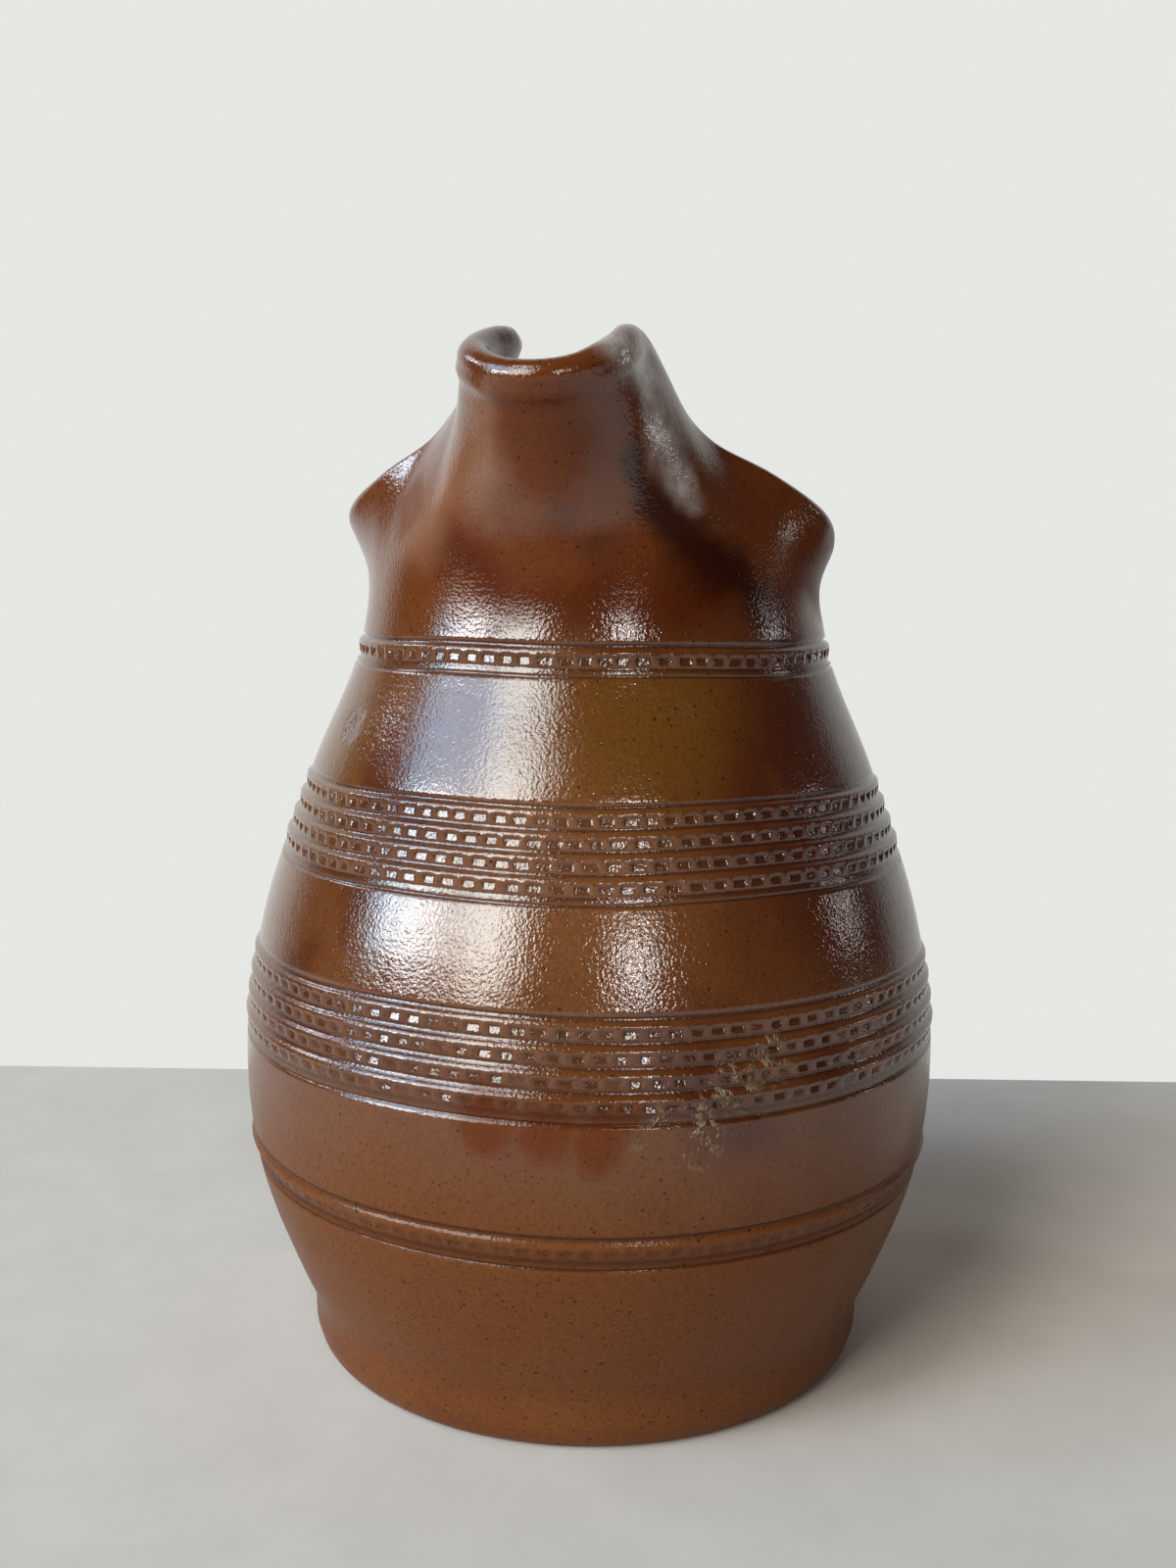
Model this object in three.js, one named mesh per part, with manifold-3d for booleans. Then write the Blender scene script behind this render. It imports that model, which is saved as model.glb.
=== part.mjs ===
// A salt-glazed stoneware pitcher: a thrown body with rouletted bands and a pinched pouring spout,
// a pulled strap handle, and the soft clay luted round the handle's two roots.
// Millimetres, +Z up. The origin is the centre of the flat base, and the spout points along -Y.

import * as THREE from 'three';
import * as BufferGeometryUtils from 'three/addons/utils/BufferGeometryUtils.js';
import Module from 'manifold-3d';

const wasm = await Module();
wasm.setup();

// Walls and clearances
const WALL = 6.5;
const FLOOR = 9;
const FLOOR_FILLET = 14;
const SEAM = 0.3;

// The thrown form from the base up: each station's rise over the one below it, and how far it lies within
// the belly's outside radius
const BELLY_RADIUS = 81;
const BASE = { rise: 0, within: 17.4 };
const FOOT_BEVEL = { rise: 2.2, within: 16.1 };
const FOOT_TOP = { rise: 9.8, within: 14.9 };
const LOW_BELLY = { rise: 9, within: 11.1 };
const BELLY_SWELL = { rise: 23, within: 2.9 };
const BELLY = { rise: 30, within: 0 };
const SHOULDER = { rise: 29, within: 4.3 };
const UPPER_SHOULDER = { rise: 34, within: 15.8 };
const COLLAR_BASE = { rise: 31, within: 27.6 };
const NECK = { rise: 9.5, within: 28.5 };
const THROWN_RIM = { rise: 5.5, within: 25.5 };

// Rouletted bands from the collar down: the plain wall above each band, its height, and its rows
const BANDS = [
  { gap: 1.2, tall: 4.6, rows: 1 },
  { gap: 25.5, tall: 16.8, rows: 4 },
  { gap: 21.8, tall: 18.8, rows: 4 },
  { gap: 24.4, tall: 5.5, rows: 1 },
];
const RIDGE_PROUD = 0.6;
const GROOVE_DEPTH = 0.6;
const GROOVE_WIDTH = 1.2;

// The pulled rim. Each mark is a place on the thrown rim, turned so many degrees from the spout, and what
// the fingers did to it: moved it outwards, swung it round the pot by so many degrees, and lifted it.
// The fade says how quickly the pull dies away down the collar. The left of the spout is pinched closer
// than the right. On each side its marks run from the lip over the raised lobe and the fold to the cheek.
const LIP = { turn: 0, out: 13.5, swing: 0, lift: 33.3, fade: 3.8 };
const LEFT_PINCH = [
  { turn: 9, out: 11.3, swing: -0.4, lift: 34.9, fade: 4 },
  { turn: 18, out: 4.2, swing: -1, lift: 39.8, fade: 4.6 },
  { turn: 27, out: -6.3, swing: -5.8, lift: 44.6, fade: 4 },
  { turn: 36, out: -17.4, swing: -12, lift: 46.6, fade: 3.6 },
  { turn: 44, out: -19.6, swing: -7.4, lift: 39, fade: 3.5 },
  { turn: 53, out: -16.1, swing: -3.4, lift: 28, fade: 3.5 },
];
const RIGHT_PINCH = [
  { turn: 9, out: 11.3, swing: -0.4, lift: 35.2, fade: 4 },
  { turn: 18, out: 4.2, swing: -0.9, lift: 41.2, fade: 4.6 },
  { turn: 27, out: -6, swing: -5.3, lift: 45, fade: 4 },
  { turn: 36, out: -13.4, swing: -6.1, lift: 40.5, fade: 3.6 },
  { turn: 45, out: -16.1, swing: -4.6, lift: 31.5, fade: 3.6 },
  { turn: 54, out: -15, swing: -3, lift: 25.5, fade: 3.6 },
];
const CHEEK_BACK = { turn: 65, out: -7, swing: 0, lift: 18.5, fade: 3.5 };
const EAR_FRONT = { turn: 79, out: -0.2, swing: -0.4, lift: 10.5, fade: 3.4 };
const EAR = { turn: 96, out: 0.9, swing: 0, lift: 4.5, fade: 3 };
const BACK_SIDE = { turn: 130, out: 0.6, swing: 0, lift: -1, fade: 3 };
const BACK = { turn: 180, out: -0.5, swing: 0, lift: -3.5, fade: 3 };
const COLLAR_LEAN = 1.6;

// Strap handle: a pulled strap, hollowed along its back by the thumb
const HANDLE_BELOW_COLLAR = 0.5;
const HANDLE_SPAN = 60;
const HANDLE_TOP_REACH = 60;
const HANDLE_TOP_LIFT = 19;
const HANDLE_LOW_REACH = 46;
const HANDLE_LOW_LIFT = 24;
const STRAP_TOP_WIDTH = 35;
const STRAP_LOW_WIDTH = 27;
const STRAP_TOP_THICKNESS = 11;
const STRAP_LOW_THICKNESS = 9.5;
const STRAP_SQUARENESS = 2.6;
const THUMB_GROOVE_DEPTH = 1.6;
const ROOT_DEPTH = STRAP_TOP_WIDTH / 2;

// Luting: the coil of soft clay worked into the corner between the strap and the wall
const LUTING_SPREAD = 5;
const LUTING_EDGE = 1.3;
const LUTING_STEP = 1.3;
const LUTING_HEIGHT = 8;

// Fineness of the facets
const COLUMNS = 54;
const SPOUT_CROWDING = 0.4;
const RIM_CROWDING = 0.6;
const PLAIN_STEP = 9;
const COLLAR_RINGS = 12;
const COLLAR_INSIDE_RINGS = 9;
const LIP_RINGS = 6;
const FLOOR_FILLET_RINGS = 3;
const STRAP_SIDES = 20;
const STRAP_RINGS = 20;
const LUTING_RINGS = 5;
const BISECTIONS = 24;

// Stack the stations, so that each knows its height over the base and its radius
const WALL_STATIONS = [
  BASE, FOOT_BEVEL, FOOT_TOP, LOW_BELLY, BELLY_SWELL, BELLY,
  SHOULDER, UPPER_SHOULDER, COLLAR_BASE, NECK, THROWN_RIM,
];
let stacked = 0;
for (const station of WALL_STATIONS) {
  stacked += station.rise;
  station.height = stacked;
  station.radius = BELLY_RADIUS - station.within;
}

// Smooth curve through stations: a cubic between neighbours, with slopes weighed from both sides
function smoothThrough(stations, key, value, at) {
  const last = stations.length - 1;
  const step = (i, name) => stations[i + 1][name] - stations[i][name];
  const rise = (i) => step(i, value) / step(i, key);
  const slope = (i) => {
    if (i === 0) return rise(0);
    if (i === last) return rise(last - 1);
    const before = step(i - 1, key);
    const after = step(i, key);
    return (after * rise(i - 1) + before * rise(i)) / (before + after);
  };
  let i = 0;
  while (i < last - 1 && stations[i + 1][key] < at) i += 1;
  const span = step(i, key);
  const s = (at - stations[i][key]) / span;
  const ease = s * s * (3 - 2 * s);
  const lead = s * (1 - s) * (1 - s) * span * slope(i);
  const trail = s * s * (1 - s) * span * slope(i + 1);
  return stations[i][value] * (1 - ease) + stations[i + 1][value] * ease + lead - trail;
}

const wallRadius = (height) => smoothThrough(WALL_STATIONS, 'height', 'radius', height);

// The rim's marks all round from the back, where the first and last ones repeat to close the curve
const turned = (marks, by) => marks.map((mark) => ({ ...mark, turn: mark.turn + by }));
const rimSide = (pinch) => [...pinch, CHEEK_BACK, EAR_FRONT, EAR, BACK_SIDE];
const LEFT_MARKS = rimSide(LEFT_PINCH)
  .map((mark) => ({ ...mark, turn: -mark.turn, swing: -mark.swing }))
  .reverse();
const ROUND_MARKS = [...LEFT_MARKS, LIP, ...rimSide(RIGHT_PINCH), BACK];
const RIM_MARKS = [
  ...turned(ROUND_MARKS.slice(-3), -360),
  ...ROUND_MARKS,
  ...turned(ROUND_MARKS.slice(0, 2), 360),
];

function pulledRim(turn) {
  const read = (value) => smoothThrough(RIM_MARKS, 'turn', value, turn);
  return { out: read('out'), swing: read('swing'), lift: read('lift'), fade: read('fade') };
}

const aroundAxis = (turn, radius, height) => {
  const angle = THREE.MathUtils.degToRad(turn);
  return new THREE.Vector3(radius * Math.sin(angle), -radius * Math.cos(angle), height);
};

// A point of the outside wall: the thrown form, with the collar pulled towards its rim
function outsideWall(turn, height) {
  const up = (height - COLLAR_BASE.height) / (THROWN_RIM.height - COLLAR_BASE.height);
  if (up <= 0) return aroundAxis(turn, wallRadius(height), height);
  const rim = pulledRim(turn);
  const pull = Math.pow(up, rim.fade);
  const point = aroundAxis(turn + pull * rim.swing, wallRadius(height) + pull * rim.out, height);
  point.x -= COLLAR_LEAN * (up * Math.sin(THREE.MathUtils.degToRad(turn))) ** 2;
  point.z += rim.lift * up * up;
  return point;
}

// The direction up the outside wall and the direction straight out of it
function wallDirections(turn, height) {
  const step = 0.01;
  const below = Math.max(0, Math.min(height, THROWN_RIM.height) - step);
  const up = outsideWall(turn, below + step).sub(outsideWall(turn, below)).normalize();
  const around = outsideWall(turn + step, height).sub(outsideWall(turn - step, height)).normalize();
  const out = around.clone().cross(up).normalize();
  return { up, out };
}

// The wall at any depth into the clay: 0 is the outside face, and below 0 stands off it
function wallAtDepth(turn, height, depth) {
  const { out } = wallDirections(turn, height);
  return outsideWall(turn, height).addScaledVector(out, -depth);
}

// Columns of facets round the pot, closer together at the spout
const TURNS = Array.from({ length: COLUMNS }, (_, k) => {
  const even = 2 * Math.PI * (k / COLUMNS) - Math.PI;
  return THREE.MathUtils.radToDeg(even - SPOUT_CROWDING * Math.sin(even));
});

const ringOf = (place) => TURNS.map(place);

// Close a stack of rings into one skin, with a point in the middle of its first and last ring
function skin(rings, firstMiddle, lastMiddle) {
  const sides = rings[0].length;
  const points = [firstMiddle, ...rings.flat(), lastMiddle];
  const lastPoint = points.length - 1;
  const at = (ring, k) => 1 + ring * sides + (k % sides);
  const faces = [];
  for (let k = 0; k < sides; k += 1) {
    faces.push(0, at(0, k + 1), at(0, k));
    for (let ring = 0; ring < rings.length - 1; ring += 1) {
      faces.push(at(ring, k), at(ring, k + 1), at(ring + 1, k + 1));
      faces.push(at(ring, k), at(ring + 1, k + 1), at(ring + 1, k));
    }
    faces.push(at(rings.length - 1, k), at(rings.length - 1, k + 1), lastPoint);
  }
  const geometry = new THREE.BufferGeometry().setFromPoints(points);
  geometry.setIndex(faces);
  return geometry;
}

const onAxis = (height) => new THREE.Vector3(0, 0, height);
const middleOf = (ring) => ring.reduce((sum, p) => sum.add(p), new THREE.Vector3()).divideScalar(ring.length);

// Heights from one level to another in equal steps, without the last
function plainHeights(from, to) {
  const steps = Math.max(1, Math.round((to - from) / PLAIN_STEP));
  return Array.from({ length: steps }, (_, i) => from + ((to - from) * i) / steps);
}

// Heights up the outside wall with how far the clay stands proud there: plain wall, ridges and grooves
function bandedWall() {
  const plain = (height) => ({ height, proud: 0 });
  const levels = [];
  let top = COLLAR_BASE.height;
  for (const { gap, tall, rows } of BANDS) {
    const high = top - gap;
    const low = high - tall;
    const row = tall / rows;
    levels.push(...plainHeights(high + GROOVE_WIDTH / 2, top).reverse().map(plain));
    levels.push({ height: high, proud: -GROOVE_DEPTH });
    for (let i = rows - 1; i >= 0; i -= 1) {
      levels.push({ height: low + (i + 1) * row - GROOVE_WIDTH / 2, proud: RIDGE_PROUD });
      levels.push({ height: low + i * row + GROOVE_WIDTH / 2, proud: RIDGE_PROUD });
      levels.push({ height: low + i * row, proud: -GROOVE_DEPTH });
    }
    top = low - GROOVE_WIDTH / 2;
    levels.push(plain(top));
  }
  levels.push(...plainHeights(FOOT_TOP.height, top).reverse().map(plain));
  levels.push(plain(FOOT_BEVEL.height), plain(BASE.height));
  return levels.reverse();
}

// Heights up the thrown collar, closer together towards the rim
function collarHeights(count) {
  const tall = THROWN_RIM.height - COLLAR_BASE.height;
  return Array.from({ length: count + 1 }, (_, i) => {
    const even = i / count;
    return COLLAR_BASE.height + tall * even * (1 + RIM_CROWDING - RIM_CROWDING * even);
  });
}

// The outside wall from the base to the rim, standing off by so much
function outsideRings(standOff) {
  const banded = bandedWall().map(({ height, proud }) => (
    ringOf((turn) => wallAtDepth(turn, height, -proud - standOff))
  ));
  const collar = collarHeights(COLLAR_RINGS).map((height) => (
    ringOf((turn) => wallAtDepth(turn, height, -standOff))
  ));
  return [...banded, ...collar];
}

// The rim's rounded edge, rolled over from the outside face, standing off by so much
function lipRing(roll, standOff) {
  const round = WALL / 2 + standOff;
  return ringOf((turn) => {
    const { up, out } = wallDirections(turn, THROWN_RIM.height);
    return wallAtDepth(turn, THROWN_RIM.height, WALL / 2)
      .addScaledVector(out, round * Math.cos(roll))
      .addScaledVector(up, round * Math.sin(roll));
  });
}

function thrownBody() {
  const rings = outsideRings(0);
  for (let i = 1; i < LIP_RINGS; i += 1) rings.push(lipRing((Math.PI * i) / LIP_RINGS, 0));

  const insideHeights = collarHeights(COLLAR_INSIDE_RINGS).reverse();
  for (const { height } of [UPPER_SHOULDER, SHOULDER, BELLY, BELLY_SWELL]) insideHeights.push(height);
  for (const height of insideHeights) rings.push(ringOf((turn) => wallAtDepth(turn, height, WALL)));

  const filletTop = FLOOR + FLOOR_FILLET;
  const floorEdge = wallRadius(filletTop) - WALL - FLOOR_FILLET;
  for (let i = 0; i <= FLOOR_FILLET_RINGS; i += 1) {
    const roll = (Math.PI / 2) * (i / FLOOR_FILLET_RINGS);
    const radius = floorEdge + FLOOR_FILLET * Math.cos(roll);
    rings.push(ringOf((turn) => aroundAxis(turn, radius, filletTop - FLOOR_FILLET * Math.sin(roll))));
  }
  return skin(rings, onAxis(BASE.height), onAxis(FLOOR));
}

// The outside of the pot as one solid lump, standing off by a seam, for cutting what is luted to it
function bodyLump() {
  const rings = outsideRings(SEAM);
  for (let i = 1; i <= LIP_RINGS / 2; i += 1) rings.push(lipRing((Math.PI * i) / LIP_RINGS, SEAM));
  return skin(rings, onAxis(BASE.height), middleOf(rings[rings.length - 1]));
}

// The strap's middle line, from inside the collar's back wall over to inside the belly's wall
function strapLine() {
  const top = COLLAR_BASE.height - HANDLE_BELOW_COLLAR;
  const low = top - HANDLE_SPAN;
  return new THREE.CubicBezierCurve3(
    new THREE.Vector3(0, wallRadius(top) - WALL / 2, top),
    new THREE.Vector3(0, wallRadius(top) + HANDLE_TOP_REACH, top + HANDLE_TOP_LIFT),
    new THREE.Vector3(0, wallRadius(low) + HANDLE_LOW_REACH, low + HANDLE_LOW_LIFT),
    new THREE.Vector3(0, wallRadius(low) - WALL / 2, low),
  );
}

// One side of the strap's section, at a distance along its line, grown outwards by so much.
// Beyond the line's two ends the strap runs straight on.
function strapSide(line, distance, side, grown) {
  const length = line.getLength();
  const onLine = THREE.MathUtils.clamp(distance, 0, length);
  const along = onLine / length;
  const ahead = line.getTangentAt(along);
  const wide = new THREE.Vector3(1, 0, 0);
  const thick = ahead.clone().cross(wide);
  const width = THREE.MathUtils.lerp(STRAP_TOP_WIDTH, STRAP_LOW_WIDTH, along) / 2 + grown;
  const thickness = THREE.MathUtils.lerp(STRAP_TOP_THICKNESS, STRAP_LOW_THICKNESS, along) / 2 + grown;
  const square = (wave) => Math.sign(wave) * Math.pow(Math.abs(wave), 2 / STRAP_SQUARENESS);
  const angle = 2 * Math.PI * ((side + 0.5) / STRAP_SIDES);
  const across = square(Math.cos(angle));
  const groove = Math.sin(angle) < 0 ? THUMB_GROOVE_DEPTH * (1 - across * across) ** 2 : 0;
  return line.getPointAt(along)
    .addScaledVector(ahead, distance - onLine)
    .addScaledVector(wide, width * across)
    .addScaledVector(thick, thickness * square(Math.sin(angle)) + groove);
}

const strapSides = (place) => Array.from({ length: STRAP_SIDES }, (_, side) => place(side));

// The whole strap as a closed solid, with its two ends buried in the pot
function buriedStrap(line, grown) {
  const total = line.getLength() + 2 * ROOT_DEPTH;
  const rings = Array.from({ length: STRAP_RINGS + 1 }, (_, i) => {
    const distance = total * (i / STRAP_RINGS) - ROOT_DEPTH;
    return strapSides((side) => strapSide(line, distance, side, grown));
  });
  return skin(rings, middleOf(rings[0]), middleOf(rings[STRAP_RINGS]));
}

// The coil of soft clay at one root: it stands on the wall all round, and thins as it climbs the strap.
// A distance out of the root is given to fromRoot, which turns it into a distance along the strap.
function lutingCoil(line, fromRoot) {
  const outOfWall = (side) => {
    let inside = -ROOT_DEPTH;
    let outside = WALL + LUTING_HEIGHT;
    for (let i = 0; i < BISECTIONS; i += 1) {
      const middle = (inside + outside) / 2;
      const { x, y, z } = strapSide(line, fromRoot(middle), side, LUTING_SPREAD);
      if (Math.hypot(x, y) < wallRadius(Math.min(z, THROWN_RIM.height))) inside = middle;
      else outside = middle;
    }
    return outside;
  };
  const starts = strapSides(outOfWall);
  const ring = (rise, grown) => strapSides((side) => (
    strapSide(line, fromRoot(starts[side] + rise), side, grown)
  ));
  const rings = [ring(-ROOT_DEPTH, LUTING_SPREAD)];
  for (let i = 0; i <= LUTING_RINGS; i += 1) {
    const share = i / LUTING_RINGS;
    const rise = THREE.MathUtils.lerp(LUTING_STEP, LUTING_HEIGHT, share);
    rings.push(ring(rise, THREE.MathUtils.lerp(LUTING_SPREAD, LUTING_EDGE, Math.sqrt(share))));
  }
  if (fromRoot(1) < fromRoot(0)) rings.reverse();
  return skin(rings, middleOf(rings[0]), middleOf(rings[rings.length - 1]));
}

// Solids for cutting, and back
function toSolid(geometry) {
  const merged = BufferGeometryUtils.mergeVertices(geometry);
  return new wasm.Manifold(new wasm.Mesh({
    numProp: 3,
    vertProperties: new Float32Array(merged.attributes.position.array),
    triVerts: new Uint32Array(merged.index.array),
  }));
}

function toGeometry(solid) {
  const mesh = solid.getMesh();
  const geometry = new THREE.BufferGeometry();
  geometry.setAttribute('position', new THREE.BufferAttribute(new Float32Array(mesh.vertProperties), 3));
  geometry.setIndex(new THREE.BufferAttribute(new Uint32Array(mesh.triVerts), 1));
  return geometry;
}

// The strap trimmed where it meets the pot, and the coil of soft clay round each of its roots
function handlePieces() {
  const line = strapLine();
  const length = line.getLength();
  const lump = toSolid(bodyLump());
  const room = toSolid(buriedStrap(line, SEAM));
  const coil = (fromRoot) => toGeometry(toSolid(lutingCoil(line, fromRoot)).subtract(room).subtract(lump));
  return {
    strap: toGeometry(toSolid(buriedStrap(line, 0)).subtract(lump)),
    upper: coil((distance) => distance),
    lower: coil((distance) => length - distance),
  };
}

const glazedClay = new THREE.MeshStandardMaterial({ color: 0x7b4024, roughness: 0.3, metalness: 0 });
const handleClay = new THREE.MeshStandardMaterial({ color: 0x74391f, roughness: 0.32, metalness: 0 });
const lutingClay = new THREE.MeshStandardMaterial({ color: 0x6c351d, roughness: 0.36, metalness: 0 });

function piece(name, geometry, material) {
  geometry.computeVertexNormals();
  const mesh = new THREE.Mesh(geometry, material);
  mesh.name = name;
  return mesh;
}

const pitcher = new THREE.Group();
const { strap, upper, lower } = handlePieces();
pitcher.add(
  piece('thrown_body', thrownBody(), glazedClay),
  piece('strap_handle', strap, handleClay),
  piece('upper_luting', upper, lutingClay),
  piece('lower_luting', lower, lutingClay),
);

export default pitcher;
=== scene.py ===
import math

import bpy
import numpy as np
from mathutils import Matrix, Vector


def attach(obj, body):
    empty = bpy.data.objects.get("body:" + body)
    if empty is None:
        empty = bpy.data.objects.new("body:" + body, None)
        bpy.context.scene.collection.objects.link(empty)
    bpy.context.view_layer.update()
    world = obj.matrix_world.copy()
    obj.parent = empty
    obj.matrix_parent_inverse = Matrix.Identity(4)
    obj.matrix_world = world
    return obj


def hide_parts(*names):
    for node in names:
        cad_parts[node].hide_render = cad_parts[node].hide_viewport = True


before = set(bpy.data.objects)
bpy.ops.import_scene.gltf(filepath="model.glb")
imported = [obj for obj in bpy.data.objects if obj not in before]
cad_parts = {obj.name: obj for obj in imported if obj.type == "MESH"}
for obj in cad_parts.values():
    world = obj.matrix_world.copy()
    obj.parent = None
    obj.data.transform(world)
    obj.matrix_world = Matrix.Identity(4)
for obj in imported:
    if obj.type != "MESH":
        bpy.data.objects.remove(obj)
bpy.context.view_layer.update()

# Shapes are worked out in millimetres, as in the solids, and put into the scene in metres
MM = 0.001

# Walls, as in the solids
WALL = 6.5
FLOOR = 9.0
FLOOR_FILLET = 14.0

# The thrown form from the base up: rise over the station below, and distance within the belly's radius
BELLY_RADIUS = 81.0
STATIONS = {
    "base": (0.0, 17.4),
    "foot_bevel": (2.2, 16.1),
    "foot_top": (9.8, 14.9),
    "low_belly": (9.0, 11.1),
    "belly_swell": (23.0, 2.9),
    "belly": (30.0, 0.0),
    "shoulder": (29.0, 4.3),
    "upper_shoulder": (34.0, 15.8),
    "collar_base": (31.0, 27.6),
    "neck": (9.5, 28.5),
    "thrown_rim": (5.5, 25.5),
}
FOOT_ROUNDING = 0.9

# The pulled rim: turn from the spout, then outward move, swing, lift and fade of the pull
LIP = (0, 13.5, 0.0, 33.3, 3.8)
CHEEK_BACK = (65, -7.0, 0.0, 18.5, 3.5)
EAR_FRONT = (79, -0.2, -0.4, 10.5, 3.4)
EAR = (96, 0.9, 0.0, 4.5, 3.0)
BACK_SIDE = (130, 0.6, 0.0, -1.0, 3.0)
BACK = (180, -0.5, 0.0, -3.5, 3.0)
LEFT_PINCH = [
    (9, 11.3, -0.4, 34.9, 4.0),
    (18, 4.2, -1.0, 39.8, 4.6),
    (27, -6.3, -5.8, 44.6, 4.0),
    (36, -17.4, -12.0, 46.6, 3.6),
    (44, -19.6, -7.4, 39.0, 3.5),
    (53, -16.1, -3.4, 28.0, 3.5),
]
RIGHT_PINCH = [
    (9, 11.3, -0.4, 35.2, 4.0),
    (18, 4.2, -0.9, 41.2, 4.6),
    (27, -6.0, -5.3, 45.0, 4.0),
    (36, -13.4, -6.1, 40.5, 3.6),
    (45, -16.1, -4.6, 31.5, 3.6),
    (54, -15.0, -3.0, 25.5, 3.6),
]
COLLAR_LEAN = 1.6

# The lip's rolled bead and the crease under it. They die away between two turns from the spout,
# and over the first share of the collar's height.
BEAD_PROUD = 0.5
BEAD_TALL = 4.4
BEAD_ENDS = (18, 40)
BEAD_START = 0.15
CREASE_DEPTH = 0.18
CREASE_HALF = 1.1

# Rouletted bands from the collar down: plain wall above, band height, rows, and beads round the pot
BANDS = [
    (1.2, 4.6, 1, 84),
    (25.5, 16.8, 4, 98),
    (21.8, 18.8, 4, 112),
    (24.4, 5.5, 1, 114),
]
MOST_ROWS = 4
BAND_SEAM = 0.6

# A row's ridge over the plain wall, and the groove between rows. The crest lies at a share of the
# row's height, and the fall from it follows a power.
RIDGE_PROUD = 0.6
RIDGE_CREST = 0.72
RIDGE_FALL = 1.6
GROOVE_DEPTH = 0.6

# The pits pressed into a row: their floor's level, and their edges as shares of the row and of a bead
PIT_LEVEL = -0.22
PIT_LOW = 0.10
PIT_HIGH = 0.58
PIT_SOFT = 0.06
PIT_FLOOR_HALF = 0.28
PIT_HALF = 0.36

# How unevenly the wheel was rolled: ranges for each pit, and for each band its pressing and tilt.
# The drifts and the waver run round the pot in waves, from seeds of their own.
PIT_SIZES = (0.8, 1.12)
PIT_SHIFT = 0.06
PIT_PRESSING = (0.75, 1.1)
BAND_PRESSING = (0.95, 0.9, 0.9, 0.5)
BAND_TILT = (0.0, 0.02, 0.19, 0.15)
ROW_STAGGER = 0.37
SPACING_DRIFT = 0.08
SPACING_WAVES = 11
PRESSING_DRIFT = 0.1
PRESSING_WAVES = 23
WAVER = 0.3
WAVER_WAVES = 4
COLUMN_SEED = 50
PRESSING_SEED = 100
WAVER_SEED = 30

# How dark the glaze pools: over these falls from the crest, and in a pit
GROOVE_SHADE = (0.8, 1.0)
PIT_SHADE = 0.7

# The incised line below a band. Its profile is given in shares of its width and depth.
LINE_DEPTH = 0.5
LINE_WIDTH = 1.1
LINE_BELOW = 1.4
LINE_PROFILE = ((-0.5, 0), (-0.2, 0.8), (0, 1), (0.2, 0.8), (0.5, 0))

# The groove above a band: height over the band, share of the groove's depth, and shade
GROOVE_TOP = 0.6
GROOVE_PROFILE = ((0.0, 1.0, 1.0), (0.3, 0.5, 0.7), (GROOVE_TOP, 0.0, 0.0))
ABOVE_GROOVE = 0.8

# Strap handle, as in the solids. The waver gives height, length and phase of the waves along it.
HANDLE_BELOW_COLLAR = 0.5
HANDLE_SPAN = 60.0
HANDLE_TOP_REACH = 60.0
HANDLE_TOP_LIFT = 19.0
HANDLE_LOW_REACH = 46.0
HANDLE_LOW_LIFT = 24.0
STRAP_TOP_WIDTH = 35.0
STRAP_LOW_WIDTH = 27.0
STRAP_TOP_THICKNESS = 11.0
STRAP_LOW_THICKNESS = 9.5
STRAP_SQUARENESS = 2.6
THUMB_GROOVE_DEPTH = 1.6
STRAP_WAVER = ((0.22, 9.5, 0), (0.15, 4.7, 1))

# Luting, worked out a little further than in the solids and thinned into the strap
LUTING_SPREAD = 6.5
LUTING_HEIGHT = 10.0
LUTING_UNEVEN = 0.16
LUTING_WAVES = 4
LUTING_BURIED = 1.2
LUTING_BURIED_SPREAD = 0.6
LUTING_SUNK = 0.2
LUTING_THINNING = (0.5, 1.15)
LUTING_END_SUNK = 0.15

# Fineness of the meshes
PLAIN_COLUMNS = 152
PLAIN_STEP = 2.5
BEAD_END = 0.5
BEAD_PHASES = (-0.36, -0.28, -0.2, 0.2, 0.28, 0.36, BEAD_END)
ROW_SHARES = (0.0, 0.10, 0.16, 0.22, 0.46, 0.52, 0.58, 0.72, 0.86)
UNDERSIDE_RADII = (4.0, 24.0, 44.0, 58.0)
FOOT_SHARES = (0.0, 0.12, 0.3, 0.55, 1.0)
COLLAR_RINGS = 40
RIM_CROWDING = 0.6
LIP_RINGS = 14
INSIDE_STEP = 5.0
FILLET_RINGS = 8
FLOOR_RADII = (30.0, 12.0, 3.0)
LINE_POINTS = 600
STRAP_SIDES = 72
STRAP_RINGS = 80
LUTING_RINGS = 14
BISECTIONS = 24
SLOPE_STEP = 0.01

# Camera, from a fit to the photograph: focal length in pixels of the 1200 x 1600 frame
FRAME_TALL = 1600
FOCAL_PIXELS = 1618
SENSOR = 36.0
CLIP_START = 0.01
CAMERA_DISTANCE = 372.8
CAMERA_HEIGHT = 183.5
CAMERA_PITCH = 7.94
CAMERA_YAW = -0.16
CAMERA_ROLL = 0.75
JUG_TURN = 10.5

# Table and room. The wall's light comes in over a range of directions and dims towards the right.
TABLE_BACK = 182.0
TABLE_SIDE = 1400.0
TABLE_COLOR = (0.63, 0.56, 0.50)
TABLE_MOTTLE = 0.93
TABLE_ROUGHNESS = 0.9
WALL_COLOR = (0.79, 0.80, 0.77)
WALL_BEHIND = (0.42, 0.68)
WALL_SIDES = (-0.5, 0.5)
WALL_DIMMING = (0.95, 0.6)
ROOM_COLOR = (0.05, 0.042, 0.036)

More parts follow.
